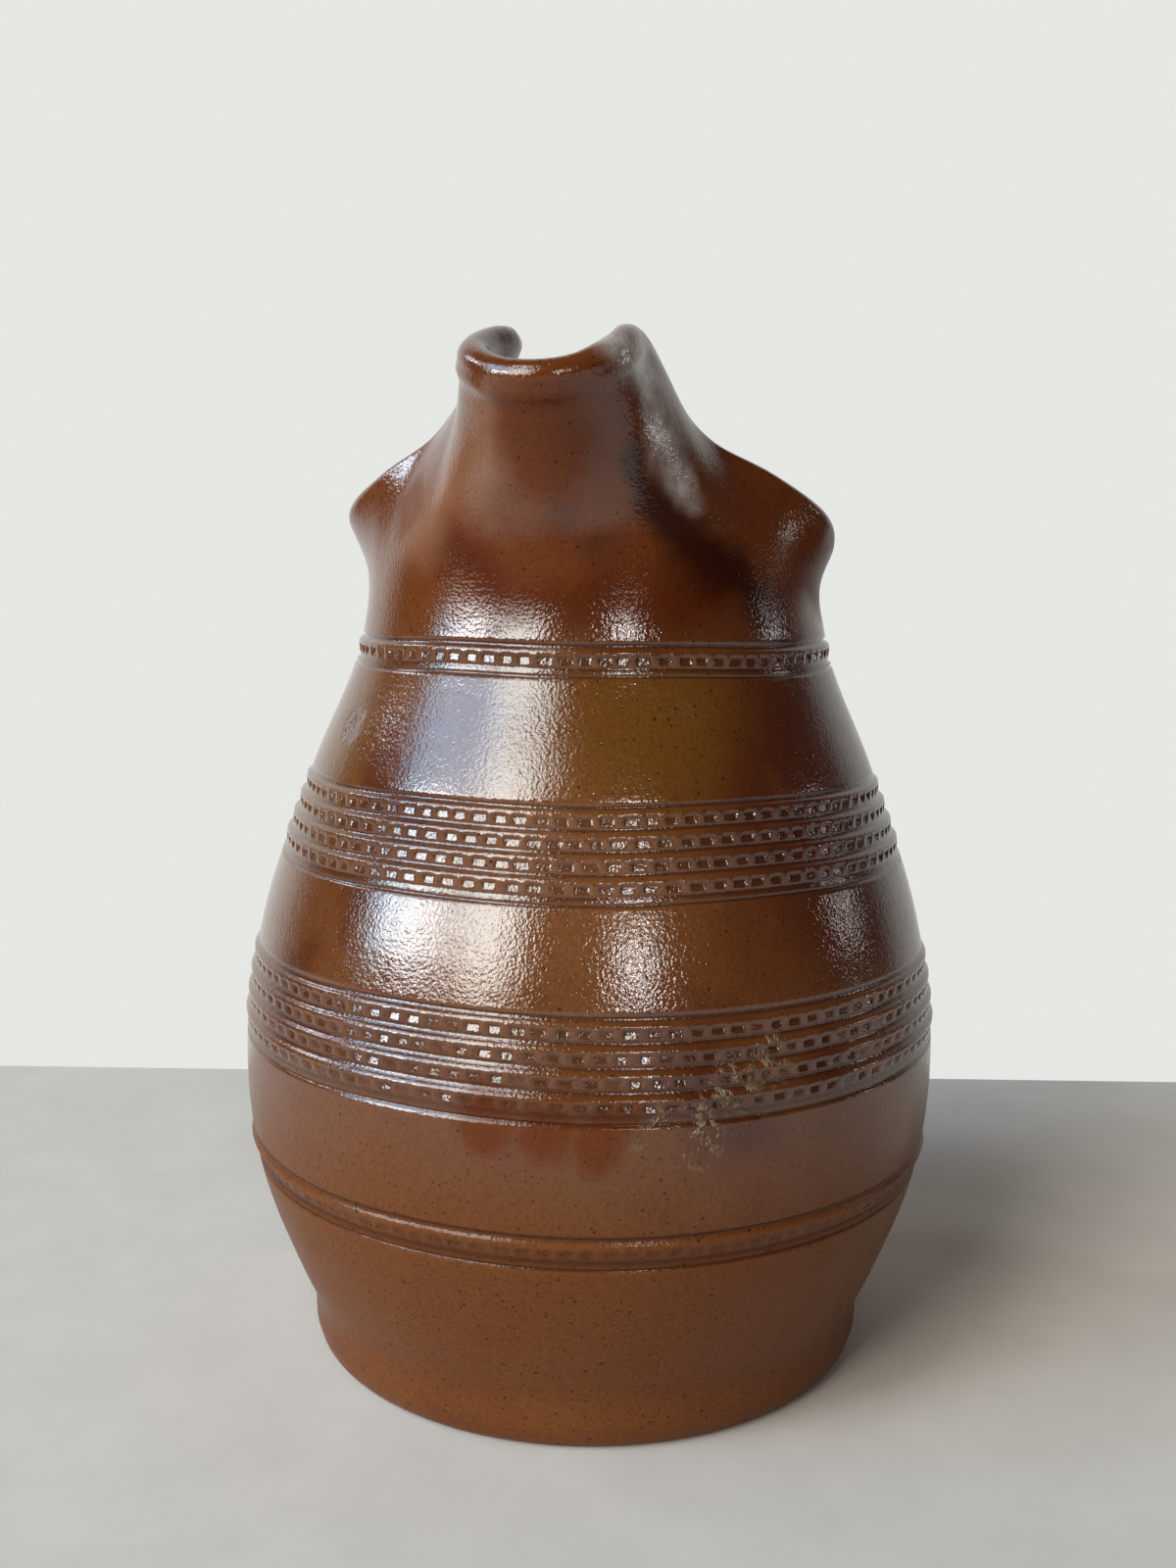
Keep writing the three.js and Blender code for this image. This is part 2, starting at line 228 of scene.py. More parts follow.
# Soft window panels: bearing from the camera's side, height angle, angular width and height, radiance
# and colour. They face a place on the pot's axis.
PANEL_DISTANCE = 6.0
PANEL_AIM = 120.0
PANELS = {
    "left_side": (-110.0, 30.0, 13.0, 9.0, 12.0, (0.70, 0.85, 1.0)),
    "left_sky": (-68.0, 36.0, 36.0, 22.0, 5.5, (0.45, 0.72, 1.0)),
    "left_edge": (-77.0, 15.0, 7.0, 14.0, 11.0, (0.40, 0.75, 1.0)),
    "left_window": (-63.0, 16.0, 20.0, 15.0, 15.0, (0.94, 0.98, 1.0)),
    "front_window": (-36.5, 20.0, 20.0, 24.0, 10.5, (0.97, 1.0, 0.95)),
    "front_top": (-35.0, 38.0, 22.0, 12.0, 8.0, (0.92, 1.0, 0.97)),
    "front_high": (-45.0, 56.0, 14.0, 14.0, 9.0, (0.92, 0.96, 1.0)),
    "door_low": (15.0, 13.5, 7.0, 7.0, 23.0, (1.0, 0.98, 0.95)),
    "door_top": (15.0, 21.0, 7.0, 8.0, 8.0, (1.0, 0.98, 0.95)),
    "right_glow": (98.0, 9.5, 3.0, 8.0, 9.0, (1.0, 0.97, 0.95)),
}

# Glaze colours, linear
GLAZE_BROWN = (0.112, 0.033, 0.007)
GLAZE_RED = (0.055, 0.007, 0.001)
GLAZE_OCHRE = (0.116, 0.041, 0.003)
GLAZE_TAN = (0.145, 0.052, 0.016)
GLAZE_LIGHT = (0.185, 0.066, 0.020)
# Tan of a painted sheen down the left of the spout
SHEEN_TAN = (0.240, 0.105, 0.055)
GLAZE_RUST = (0.110, 0.021, 0.002)
# Pale grey of a painted reflection down the right of the spout
REFLECTION_GREY = (0.400, 0.360, 0.335)
GLAZE_POOL = (0.035, 0.007, 0.002)
GLAZE_DARK = (0.016, 0.002, 0.001)
SPECK = (0.012, 0.006, 0.004)
DRY_CLAY = (0.140, 0.043, 0.010)
ASH_SCAR = (0.205, 0.140, 0.080)

# Gloss: nearly all of it comes from a clear coat over the colour
GLAZE_IOR = 1.7
BASE_SPECULAR = 0.03
COAT_ROUGHNESS = 0.06
DRY_ROUGHNESS = 0.15
BUMP_DISTANCE = 0.0001

# Heights over which the collar turns rusty, the foot dry, and the collar's front dull, in millimetres.
# The dull zone ends towards the left over a range of x.
RUST_RISE = (163, 180)
DRY_FALL = (82, 46)
DULL_RISE = (170, 177)
DULL_FALL = (195, 186)
DULL_LEFT = (-36, -24)

# How strongly each layer or mark colours the glaze, and how dull it makes it
SHARES = {
    "ochre": 0.7, "redder_shaded_side": 0.9, "lighter_front": 0.6, "ochre_flash": 0.85, "clouds": 0.35, "rust": 0.65,
    "collar_reds": 0.7, "wet": 0.8, "dry": 0.75, "pressed": 0.7, "grain": 0.3, "speck": 0.8, "ash": 0.8,
    "blotch": 0.4, "painted_sheen": 0.6, "run": 0.85, "dents": 0.6,
}
DULLING = {"collar": 0.85, "dry": 0.8, "wet": 0.7, "marks": 0.7}

# Noises in the glaze and on the table: scale, detail and roughness, and the values between which
# each one shows. A warp has a scale, and a reach in millimetres.
NOISES = {
    "patches": (22.0, 3.0, 0.5), "ochre": (14.0, 2.0, 0.5), "clouds": (60.0, 4.0, 0.6),
    "grain": (1100.0, 3.0, 0.6), "fine": (1450.0, 2.0, 0.5), "peel": (900.0, 2.0, 0.5),
    "swell": (240.0, 2.0, 0.5), "lines": (650.0, 3.0, 0.5), "grit": (380.0, 3.0, 0.7),
    "reflection_breakup": (420.0, 3.0, 0.6), "dents": (520.0, 3.0, 0.7), "mottle": (30.0, 6.0, 0.65),
}
SHOWS = {
    "patches": (0.30, 0.50), "ochre": (0.54, 0.70), "clouds": (0.5, 0.75), "grain": (0.42, 0.68),
    "grit": (0.50, 0.62), "reflection_breakup": (0.30, 0.62), "dents": (0.35, 0.65), "rough": (0.35, 0.7),
    "mottle": (0.3, 0.7),
}
# How strongly the painted reflection shows through its breakup noise
REFLECTION_BREAKUP_RANGE = (0.55, 0.95)
ROUGH_RANGE = (0.26, 0.38)
LINE_STRETCH = (0.04, 0.04, 1.0)
LOOSE_WARP = (45.0, 9.0)
POCK_WARP = (300.0, 1.5)
WARP_DETAIL = 3.0

# How far each layer stands out of the glaze or lies in it, beside the finest noise
RELIEF = {"peel": 0.3, "swell": 0.6, "lines": 0.3, "speck": -0.3, "ash": 2.4, "dents": -6.0}

# Iron specks: scale of the cells, size of the dots in them, and share of the cells without one
SPECKS = ((620.0, 0.22, 0.50), (300.0, 0.15, 0.55), (130.0, 0.075, 0.55))
SPECK_CORE = 0.45

# Marks on the body, in millimetres: place, reach and soft edge. The lighter front is only a lighter colour
# there, and the redder right side is partly painted shade; the others are what the kiln and the shelf left.
# A lighter patch on the front of the belly
LIGHTER_FRONT = ((4, -76, 122), 48, 40)
OCHRE_FLASH = ((24, -55, 152), 30, 24)
# The right side, turned away from the windows: a redder glaze, and partly painted shade
REDDER_SHADED_SIDE = ((60, -30, 138), 58, 40)
ASH_SCARS = [((33, -74, 74), 9, 6), ((41, -69, 82), 10, 7), ((49, -63, 88), 8, 5)]
POCK = ((-45.6, -39.8, 148), 5.5, 4)
WET_PATCHES = [((-4, -80.5, 75), 10, 7), ((8, -80, 74.5), 11, 7), ((20, -78, 74), 10, 7)]
BLOTCHES = [((4.2, -55.5, 194), 7, 5), ((10, -52, 186.5), 6, 4.5)]
DULL_MARKS = [((-33, -34, 195), 8, 5), ((1, -63, 208), 17, 10)]

# Marks that run along a line: start, end, reach and soft edge
# A painted reflection: a pale grey veil down the right of the spout, as a window leaves in the glaze
PAINTED_SPOUT_REFLECTION = [
    ((17.2, -57.4, 223), (19.3, -48.7, 217), 7, 6),
    ((19.3, -48.7, 217), (22.4, -44.8, 209), 9, 8),
    ((22.4, -44.8, 209), (26, -41.5, 201), 7, 7),
]
# A painted sheen: a pale tan veil of reflection down the left of the spout
PAINTED_LEFT_SHEEN = [
    ((-12, -60, 214), (-15.6, -54.3, 205), 9, 9),
    ((-15.6, -54.3, 205), (-29, -41, 189), 13, 13),
]
COLLAR_REDS = [
    ((-24, -46, 187), (-11, -51, 174), 11, 10),
    ((-11, -51, 174), (12, -51.5, 172), 9, 8),
    ((12, -51.5, 174), (32, -42, 178), 13, 11),
]
# Darker streaks down the fold to the right of the spout
DARK_STREAKS = [
    ((16.2, -52.8, 206), (21.2, -47.3, 196), 4.5, 4),
    ((21.2, -47.3, 196), (28, -42.3, 189), 8, 6),
    ((28, -42.3, 189), (36, -36.5, 180), 11, 9),
    ((36, -36.5, 180), (43, -29, 172), 11, 10),
]

# How far the handle's and the lutings' glaze goes towards the red
HANDLE_TONE = 0.12
LUTING_TONE = 0.2

HEIGHTS = np.cumsum([rise for rise, within in STATIONS.values()])
RADII = np.array([BELLY_RADIUS - within for rise, within in STATIONS.values()])
HEIGHT = dict(zip(STATIONS, HEIGHTS))
COLLAR_BASE = HEIGHT["collar_base"]
THROWN_RIM = HEIGHT["thrown_rim"]
PLAIN_TURNS = np.arange(PLAIN_COLUMNS) * 360 / PLAIN_COLUMNS
SIDE_ANGLES = 2 * math.pi * (np.arange(STRAP_SIDES) + 0.5) / STRAP_SIDES


def smooth_curve(keys, values, at):
    """A cubic through the stations, with slopes weighed from both sides."""
    keys = np.asarray(keys, float)
    values = np.asarray(values, float)
    steps = np.diff(keys)
    rises = np.diff(values) / steps
    slopes = np.empty_like(values)
    slopes[1:-1] = (steps[1:] * rises[:-1] + steps[:-1] * rises[1:]) / (steps[1:] + steps[:-1])
    slopes[0] = rises[0]
    slopes[-1] = rises[-1]
    i = np.clip(np.searchsorted(keys, at, side="left") - 1, 0, len(steps) - 1)
    s = (at - keys[i]) / steps[i]
    ease = s * s * (3 - 2 * s)
    lead = s * (1 - s) ** 2 * steps[i] * slopes[i]
    trail = s * s * (1 - s) * steps[i] * slopes[i + 1]
    return values[i] * (1 - ease) + values[i + 1] * ease + lead - trail


def wall_radius(height):
    return smooth_curve(HEIGHTS, RADII, height)


def rim_marks():
    """The rim's marks all the way round from -180 degrees, with more past each end."""
    sides = [[*pinch, CHEEK_BACK, EAR_FRONT, EAR, BACK_SIDE] for pinch in (LEFT_PINCH, RIGHT_PINCH)]
    left = np.array(sides[0])[::-1] * np.array([-1, 1, -1, 1, 1])
    marks = np.concatenate([left, [LIP], sides[1], [BACK]])
    full_turn = np.array([360, 0, 0, 0, 0])
    return np.concatenate([marks[-3:] - full_turn, marks, marks[:2] + full_turn])


MARKS = rim_marks()


def around_axis(turn, radius, height):
    angle = np.radians(turn)
    return np.stack(np.broadcast_arrays(radius * np.sin(angle), -radius * np.cos(angle), height), -1)


def from_spout(turn):
    return (turn + 180) % 360 - 180


def outside_wall(turn, height):
    """Points of the plain outside wall, with the collar pulled towards its rim."""
    turn, height = np.broadcast_arrays(np.asarray(turn, float), np.asarray(height, float))
    up = np.clip((height - COLLAR_BASE) / (THROWN_RIM - COLLAR_BASE), 0, None)
    at = from_spout(turn)
    out, swing, lift, fade = (smooth_curve(MARKS[:, 0], MARKS[:, n], at) for n in range(1, 5))
    pull = up ** fade
    points = around_axis(turn + pull * swing, wall_radius(height) + pull * out, height)
    points[..., 0] -= COLLAR_LEAN * (up * np.sin(np.radians(turn))) ** 2
    points[..., 2] += lift * up * up
    return points


def unit(vectors):
    return vectors / np.linalg.norm(vectors, axis=-1, keepdims=True)


def wall_directions(turn, height):
    """The direction up the wall, and the direction straight out of it."""
    below = np.maximum(0, np.minimum(height, THROWN_RIM) - SLOPE_STEP)
    up = unit(outside_wall(turn, below + SLOPE_STEP) - outside_wall(turn, below))
    around = unit(outside_wall(turn + SLOPE_STEP, height) - outside_wall(turn - SLOPE_STEP, height))
    return up, unit(np.cross(around, up))


def wall_at_depth(turn, height, depth):
    up, out = wall_directions(turn, height)
    return outside_wall(turn, height) - out * np.asarray(depth, float)[..., None]


def ripple(turn, seed, waves):
    """A hand-made unevenness between about -1 and 1, of seeded phase, that closes round the pot."""
    phases = np.random.default_rng(seed).uniform(0, 2 * math.pi, 5)
    counts = [max(1, round(waves * (0.5 + 0.3 * n))) for n in range(len(phases))]
    angle = np.radians(turn)
    return sum(np.sin(count * angle + phase) for count, phase in zip(counts, phases)) / 2.5


def smooth_step(low, high, at):
    s = np.clip((at - low) / (high - low), 0, 1)
    return s * s * (3 - 2 * s)


def plateau(at, low, high, soft):
    """1 between low and high, with soft shoulders inside them."""
    return smooth_step(low, low + soft, at) * (1 - smooth_step(high - soft, high, at))


def band_layout():
    """The bands as low edge, high edge, rows and beads, from the collar down."""
    top = COLLAR_BASE
    layout = []
    for gap, tall, rows, beads in BANDS:
        high = top - gap
        layout.append((high - tall, high, rows, beads))
        top = high - tall - BAND_SEAM
    return layout


LAYOUT = band_layout()


def row_relief(phase, share, pressing, tilt):
    """One roulette row, from the groove below it at share 0 to the groove above it at share 1.

    Gives the height over the plain wall, and how dark the glaze pools at each point.
    """
    side = RIDGE_CREST if share < RIDGE_CREST else 1 - RIDGE_CREST
    fall = abs(share - RIDGE_CREST) / side
    ridge = RIDGE_PROUD - (RIDGE_PROUD + GROOVE_DEPTH) * fall ** RIDGE_FALL
    tooth = 1 - smooth_step(PIT_FLOOR_HALF, PIT_HALF, np.abs(phase))
    pit = tooth * plateau(share, PIT_LOW, PIT_HIGH, PIT_SOFT) * pressing
    level = PIT_LEVEL - tilt * (share - (PIT_LOW + PIT_HIGH) / 2)
    return ridge - pit * (ridge - level), np.maximum(smooth_step(*GROOVE_SHADE, fall), PIT_SHADE * pit)


def row_columns(beads, seed):
    """Where one row's points stand round the pot: their turns, phases within a bead, and pressing."""
    chance = np.random.default_rng(seed + COLUMN_SEED)
    phase = np.tile(BEAD_PHASES, beads)
    bead = np.repeat(np.arange(beads), len(BEAD_PHASES))
    size = chance.uniform(*PIT_SIZES, beads)[bead]
    shift = chance.uniform(-PIT_SHIFT, PIT_SHIFT, beads)[bead]
    pressing = chance.uniform(*PIT_PRESSING, beads)[bead]
    placed = np.where(phase < BEAD_END, phase * size + shift, phase)
    turn = (bead + placed + ROW_STAGGER * seed) * 360 / beads
    turn = (turn + SPACING_DRIFT * 360 / beads * ripple(turn, seed, SPACING_WAVES)) % 360
    order = np.argsort(turn)
    return turn[order], phase[order], pressing[order]


def band_rings(number):
    """The rings of one band, from the incised line below it to the groove above it."""
    low, high, rows, beads = LAYOUT[number]
    pitch = (high - low) / rows
    flat = 0 * PLAIN_TURNS
    rings = []
    for offset, cut in LINE_PROFILE:
        at = low - LINE_BELOW + offset * LINE_WIDTH
        rings.append((PLAIN_TURNS, at, flat - LINE_DEPTH * cut, flat + cut))
    for row in range(rows):
        seed = number * MOST_ROWS + row
        turns, phases, pressing = row_columns(beads, seed)
        drift = PRESSING_DRIFT * ripple(turns, seed + PRESSING_SEED, PRESSING_WAVES)
        pressing = np.clip(BAND_PRESSING[number] * pressing + drift, 0, 1)
        for share in ROW_SHARES:
            relief = row_relief(phases, share, pressing, BAND_TILT[number] * pitch)
            rings.append((turns, low + (row + share) * pitch, *relief))
    for above, depth, shade in GROOVE_PROFILE:
        rings.append((PLAIN_TURNS, high + above, flat - GROOVE_DEPTH * depth, flat + shade))
    placed = []
    for turns, height, proud, shade in rings:
        at = height + WAVER * ripple(turns, number + WAVER_SEED, WAVER_WAVES)
        placed.append((wall_at_depth(turns, at, -proud), shade, turns))
    return placed


def unpressed(points, turns):
    """A ring where no glaze pools, as its points, their shade and their turns."""
    return points, 0 * turns, turns


def plain_ring(height, depth=0.0):
    heights = np.full_like(PLAIN_TURNS, height)
    depths = np.full_like(PLAIN_TURNS, depth)
    return unpressed(wall_at_depth(PLAIN_TURNS, heights, depths), PLAIN_TURNS)


def collar_ring(height):
    """One ring of the collar, where the rim is rolled into a soft bead with a shallow crease below it."""
    heights = np.full_like(PLAIN_TURNS, height)
    rim = outside_wall(PLAIN_TURNS, np.full_like(PLAIN_TURNS, THROWN_RIM))
    below = np.linalg.norm(rim - outside_wall(PLAIN_TURNS, heights), axis=-1)
    bead = BEAD_PROUD * np.sin(math.pi * np.clip(below / BEAD_TALL, 0, 1)) ** 2
    crease = CREASE_DEPTH * np.exp(-((below - BEAD_TALL - CREASE_HALF) / CREASE_HALF) ** 2)
    shown = smooth_step(0, BEAD_START, (height - COLLAR_BASE) / (THROWN_RIM - COLLAR_BASE))
    shown = shown * (1 - smooth_step(*BEAD_ENDS, np.abs(from_spout(PLAIN_TURNS))))
    return unpressed(wall_at_depth(PLAIN_TURNS, heights, shown * (crease - bead)), PLAIN_TURNS)


def lip_ring(roll):
    """One ring of the rim's rounded edge, rolled over from the outside face."""
    rim = np.full_like(PLAIN_TURNS, THROWN_RIM)
    up, out = wall_directions(PLAIN_TURNS, rim)
    middle = outside_wall(PLAIN_TURNS, rim) - out * (WALL / 2)
    ring = middle + (out * math.cos(roll) + up * math.sin(roll)) * (WALL / 2)
    return unpressed(ring, PLAIN_TURNS)


def level_ring(radius, height):
    flat = np.full_like(PLAIN_TURNS, height)
    return unpressed(around_axis(PLAIN_TURNS, np.full_like(PLAIN_TURNS, radius), flat), PLAIN_TURNS)


def body_rings():
    """The pot's skin as rings: underside, foot, wall with its bands, collar, lip, inside and floor."""
    rings = [level_ring(radius, 0.0) for radius in UNDERSIDE_RADII]
    bevel = HEIGHT["foot_bevel"]
    for share in FOOT_SHARES:
        radius = wall_radius(bevel * share) - FOOT_ROUNDING * (1 - share) ** 3
        rings.append(level_ring(radius, bevel * share))
    low_end = bevel
    for number in reversed(range(len(LAYOUT))):
        band_low, band_high, rows, beads = LAYOUT[number]
        high_end = band_low - LINE_BELOW - LINE_WIDTH
        count = max(2, round((high_end - low_end) / PLAIN_STEP))
        rings += [plain_ring(height) for height in np.linspace(low_end, high_end, count + 1)[1:]]
        rings += band_rings(number)
        low_end = band_high + GROOVE_TOP + ABOVE_GROOVE
        if number:
            rings.append(plain_ring(low_end))
    shares = np.linspace(0, 1, COLLAR_RINGS)
    start = max(low_end, COLLAR_BASE)
    for share in shares:
        rise = (THROWN_RIM - start) * share * (1 + RIM_CROWDING - RIM_CROWDING * share)
        rings.append(collar_ring(start + rise))
    rings += [lip_ring(math.pi * i / LIP_RINGS) for i in range(1, LIP_RINGS)]
    for share in shares[::2]:
        fall = (THROWN_RIM - COLLAR_BASE) * share * (1 - RIM_CROWDING + RIM_CROWDING * share)
        rings.append(plain_ring(THROWN_RIM - fall, WALL))
    fillet_top = FLOOR + FLOOR_FILLET
    for height in np.arange(COLLAR_BASE - INSIDE_STEP, fillet_top + INSIDE_STEP, -INSIDE_STEP):
        rings.append(plain_ring(height, WALL))
    edge = float(wall_radius(fillet_top)) - WALL - FLOOR_FILLET
    for i in range(FILLET_RINGS + 1):
        roll = math.pi / 2 * i / FILLET_RINGS
        radius = edge + FLOOR_FILLET * math.cos(roll)
        rings.append(level_ring(radius, fillet_top - FLOOR_FILLET * math.sin(roll)))
    rings += [level_ring(radius, FLOOR) for radius in FLOOR_RADII]
    return rings


def stitch(low, high, low_turns, high_turns):
    """Triangles between two rings whose points stand at different turns."""
    faces = []
    i, j = 0, 0
    next_low = np.append(low_turns[1:], low_turns[0] + 360)
    next_high = np.append(high_turns[1:], high_turns[0] + 360)
    while i < len(low) or j < len(high):
        a, b = low[i % len(low)], high[j % len(high)]
        if j == len(high) or (i < len(low) and next_low[i] <= next_high[j]):
            i += 1
            faces.append((a, low[i % len(low)], b))
        else:
            j += 1
            faces.append((a, high[j % len(high)], b))
    return faces


def skin(rings, turns):
    """Close a stack of rings, given with the turns of their points, into points and faces."""
    points = np.concatenate(rings)
    starts = np.cumsum([0] + [len(ring) for ring in rings])
    indices = [list(range(*ends)) for ends in zip(starts[:-1], starts[1:])]
    faces = [tuple(indices[0][::-1])]
    for low, high, low_turns, high_turns in zip(indices, indices[1:], turns, turns[1:]):
        if low_turns is high_turns:
            faces += zip(low, low[1:] + low[:1], high[1:] + high[:1], high)
        else:
            faces += stitch(low, high, low_turns, high_turns)
    faces.append(tuple(indices[-1]))
    return points, faces


def make_piece(name, rings, material, node):
    """A smooth-shaded piece that stands for a node of the solids, from rings with shades and turns."""
    stacked, shades, turns = zip(*rings)
    points, faces = skin(stacked, turns)
    mesh = bpy.data.meshes.new(name)
    mesh.from_pydata((points * MM).tolist(), [], faces)
    mesh.shade_smooth()
    layer = mesh.attributes.new("pressed", "FLOAT", "POINT")
    layer.data.foreach_set("value", np.concatenate(shades).astype(np.float32))
    mesh.materials.append(material)
    piece = bpy.data.objects.new(name, mesh)
    bpy.context.scene.collection.objects.link(piece)
    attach(piece, "root")
    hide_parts(node)


class StrapLine:
    """The strap's middle line, measured by distance. Beyond its two ends it runs straight on."""

    def __init__(self):
        top = COLLAR_BASE - HANDLE_BELOW_COLLAR
        low = top - HANDLE_SPAN
        top_radius = float(wall_radius(top))
        low_radius = float(wall_radius(low))
        corners = np.array([
            (top_radius - WALL / 2, top),
            (top_radius + HANDLE_TOP_REACH, top + HANDLE_TOP_LIFT),
            (low_radius + HANDLE_LOW_REACH, low + HANDLE_LOW_LIFT),
            (low_radius - WALL / 2, low),
        ])
        t = np.linspace(0, 1, LINE_POINTS)[:, None]
        weights = [(1 - t) ** 3, 3 * t * (1 - t) ** 2, 3 * t * t * (1 - t), t ** 3]
        self.points = sum(weight * corner for weight, corner in zip(weights, corners))
        steps = np.linalg.norm(np.diff(self.points, axis=0), axis=1)
        self.marks = np.concatenate([[0], np.cumsum(steps)])
        self.slopes = unit(np.gradient(self.points, self.marks, axis=0))
        self.length = self.marks[-1]

    def at(self, distance):
        """Middle points and forward directions, as y and z, and the share of the line's length."""
        on_line = np.clip(distance, 0, self.length)
        middle = np.stack([np.interp(on_line, self.marks, self.points[:, n]) for n in (0, 1)], -1)
        ahead = unit(np.stack([np.interp(on_line, self.marks, self.slopes[:, n]) for n in (0, 1)], -1))
        return middle + ahead * (distance - on_line)[..., None], ahead, on_line / self.length


def squared(wave):
    """A sine or cosine bent so that the strap's section gets flatter sides."""
    return np.sign(wave) * np.abs(wave) ** (2 / STRAP_SQUARENESS)


def strap_side(line, distance, angle, grown):
    """Points on the strap's section at distances along it and angles round it, grown outwards."""
    distance, angle, grown = np.broadcast_arrays(distance, angle, np.asarray(grown, float))
    middle, ahead, along = line.at(distance)
    width = (STRAP_TOP_WIDTH + (STRAP_LOW_WIDTH - STRAP_TOP_WIDTH) * along) / 2 + grown
    thickness = (STRAP_TOP_THICKNESS + (STRAP_LOW_THICKNESS - STRAP_TOP_THICKNESS) * along) / 2 + grown
    across = squared(np.cos(angle))
    groove = np.where(np.sin(angle) < 0, THUMB_GROOVE_DEPTH * (1 - across ** 2) ** 2, 0)
    through = thickness * squared(np.sin(angle)) + groove
    y = middle[..., 0] + ahead[..., 1] * through
    z = middle[..., 1] - ahead[..., 0] * through
    return np.stack([width * across, y, z], -1)


def strap_rings(line):
    """The pulled strap, with the slight waver that wet fingers leave along it."""
    rings = []
    for distance in np.linspace(0, line.length, STRAP_RINGS):
        waver = sum(tall * math.sin(distance / long + phase) for tall, long, phase in STRAP_WAVER)
        points = strap_side(line, np.full(STRAP_SIDES, distance), SIDE_ANGLES, waver)
        rings.append(unpressed(points, SIDE_ANGLES))
    return rings


def luting_rings(line, from_root, seed):
    """The soft clay at one root: it stands on the wall all round and thins into the strap."""
    inside = np.full(STRAP_SIDES, -STRAP_TOP_WIDTH / 2)
    outside = np.full(STRAP_SIDES, WALL + LUTING_HEIGHT)
    spread = LUTING_SPREAD * (1 + LUTING_UNEVEN * ripple(np.degrees(SIDE_ANGLES), seed, LUTING_WAVES))
    for _ in range(BISECTIONS):
        middle = (inside + outside) / 2
        points = strap_side(line, from_root(middle), SIDE_ANGLES, spread)
        wall = wall_radius(np.minimum(points[:, 2], THROWN_RIM))
        buried = np.hypot(points[:, 0], points[:, 1]) < wall
        inside = np.where(buried, middle, inside)
        outside = np.where(buried, outside, middle)
    root = from_root(outside - LUTING_BURIED)
    stack = [strap_side(line, root, SIDE_ANGLES, spread + LUTING_BURIED_SPREAD)]
    inner, outer = LUTING_THINNING
    for share in np.linspace(0, 1, LUTING_RINGS):
        grown = spread * (1 - share ** inner) ** outer - LUTING_END_SUNK * share
        distance = from_root(outside - LUTING_SUNK + LUTING_HEIGHT * share)
        stack.append(strap_side(line, distance, SIDE_ANGLES, grown))
    if from_root(1.0) < from_root(0.0):
        stack.reverse()
    return [unpressed(points, SIDE_ANGLES) for points in stack]


